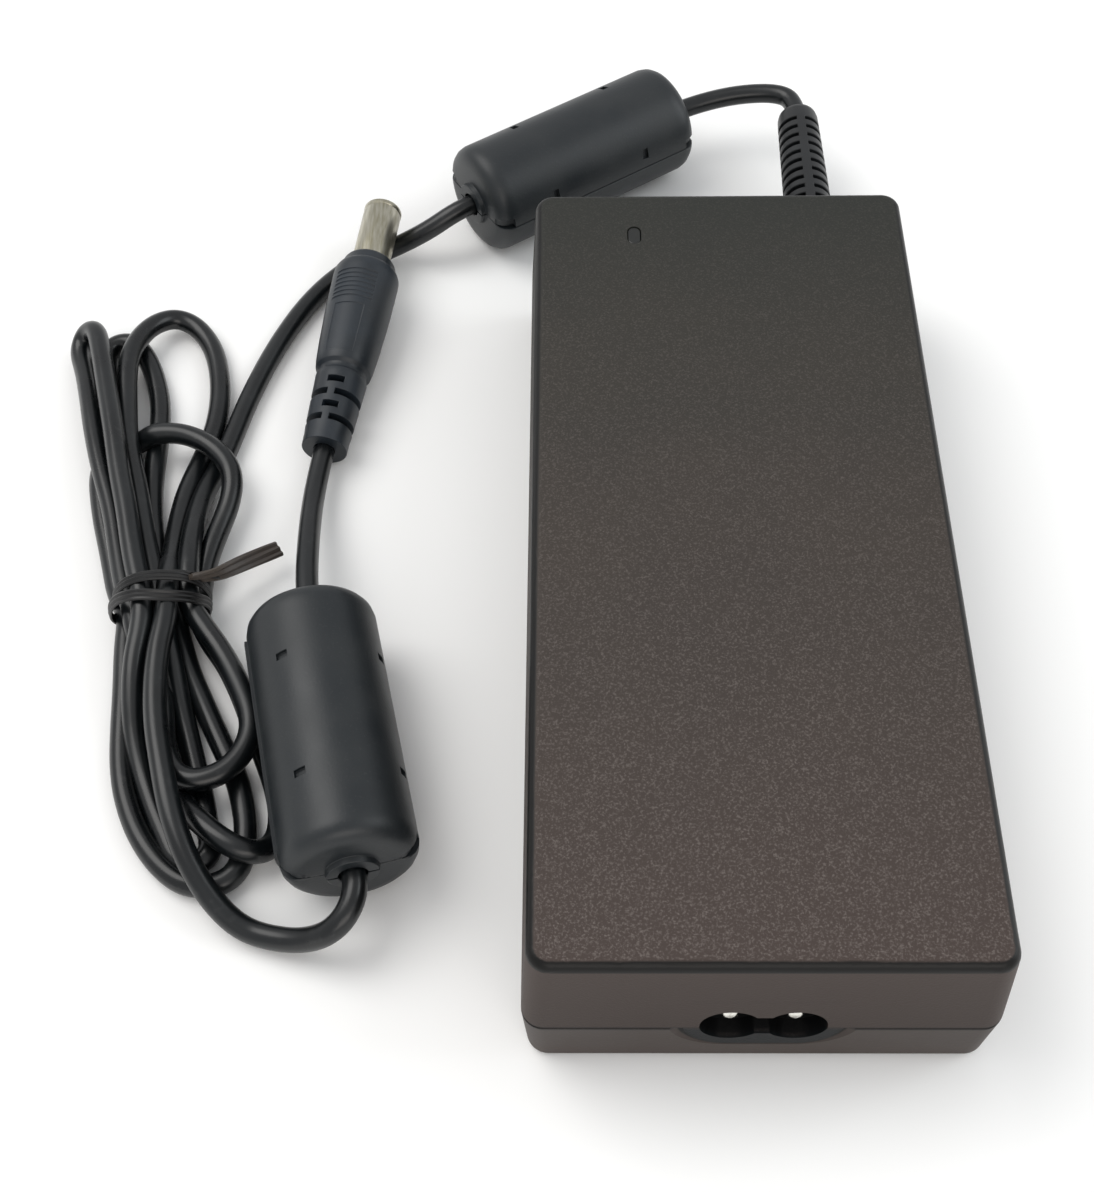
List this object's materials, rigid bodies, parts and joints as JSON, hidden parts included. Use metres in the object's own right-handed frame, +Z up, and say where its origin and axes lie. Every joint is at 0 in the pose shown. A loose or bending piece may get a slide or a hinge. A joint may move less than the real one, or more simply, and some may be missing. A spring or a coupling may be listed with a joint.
{
  "type": "laptop power adapter",
  "caption": "Laptop power adapter: black two-shell brick with figure-8 mains inlet, light window, strain relief and a tied DC cord with clip-on ferrites and a round barrel plug.",
  "frame": {"origin": "middle of the brick's base, on the surface it lies on", "axes": "+X across the brick towards its right side, +Y along the brick towards the end the DC cord leaves, +Z up"},
  "size_m": [0.1463, 0.1918, 0.029],
  "materials": {
    "case_black": "spark-eroded grain",
    "case_base": "fine satin texture",
    "inlet_black": "satin",
    "label_film": "bare satin film",
    "pin_steel": "nickel-plated",
    "light_diffuser": "translucent, unlit",
    "led_epoxy": "clear",
    "sheet_aluminium": "mill",
    "sheet_insulation": "pressed board",
    "board_laminate": "solder mask",
    "component_black": "moulded epoxy",
    "fuse_glass": "glazed",
    "thermistor_green": "coated",
    "film_box": "moulded",
    "ferrite_grey": "sintered",
    "copper_winding": "enamelled copper",
    "can_sleeve": "shrink sleeve",
    "bobbin_resin": "moulded",
    "tape_yellow": "polyester tape",
    "disc_blue": "coated",
    "screw_steel": "zinc plated",
    "cord_pvc": "semi-gloss",
    "relief_pvc": "moulded",
    "ferrite_case": "satin moulded",
    "plug_pvc": "moulded",
    "plug_nickel": "nickel-plated, rubbed",
    "plug_resin": "moulded",
    "tie_plastic": "ribbed"
  },
  "bodies": {
    "root": {"upper_shell": "case_black", "lower_shell": "case_base", "rating_label": "label_film", "inlet_housing": "inlet_black", "inlet_pin_left": "pin_steel", "inlet_pin_right": "pin_steel", "light_pipe": "light_diffuser", "status_led": "led_epoxy", "lower_spreader": "sheet_aluminium", "insulation_sheet": "sheet_insulation", "circuit_board": "board_laminate", "upper_spreader": "sheet_aluminium", "fuse": "fuse_glass", "thermistor": "thermistor_green", "filter_capacitor": "film_box", "choke_core": "ferrite_grey", "choke_windings": "copper_winding", "bridge_rectifier": "component_black", "bulk_capacitor": "can_sleeve", "primary_heatsink": "sheet_aluminium", "switch_transistor": "component_black", "transformer_core": "ferrite_grey", "transformer_windings": "tape_yellow", "transformer_bobbin": "bobbin_resin", "bypass_capacitor": "disc_blue", "optocoupler": "component_black", "controller_chip": "component_black", "secondary_heatsink": "sheet_aluminium", "output_rectifier": "component_black", "heatsink_screws": "screw_steel", "output_capacitors": "can_sleeve", "output_choke": "ferrite_grey", "strain_relief": "relief_pvc", "output_leads": "cord_pvc", "ferrite_a_case_upper": "ferrite_case", "ferrite_a_case_lower": "ferrite_case", "ferrite_a_core_upper": "ferrite_grey", "ferrite_a_core_lower": "ferrite_grey", "ferrite_b_case_upper": "ferrite_case", "ferrite_b_case_lower": "ferrite_case", "ferrite_b_core_upper": "ferrite_grey", "ferrite_b_core_lower": "ferrite_grey", "plug_moulding": "plug_pvc", "plug_barrel": "plug_nickel", "plug_insulator": "plug_resin", "plug_inner_contact": "plug_nickel", "plug_signal_pin": "plug_nickel", "cord_hank": "cord_pvc", "twist_tie": "tie_plastic", "cord_lead": "cord_pvc", "cord_tail": "cord_pvc"}
  },
  "joints": []
}
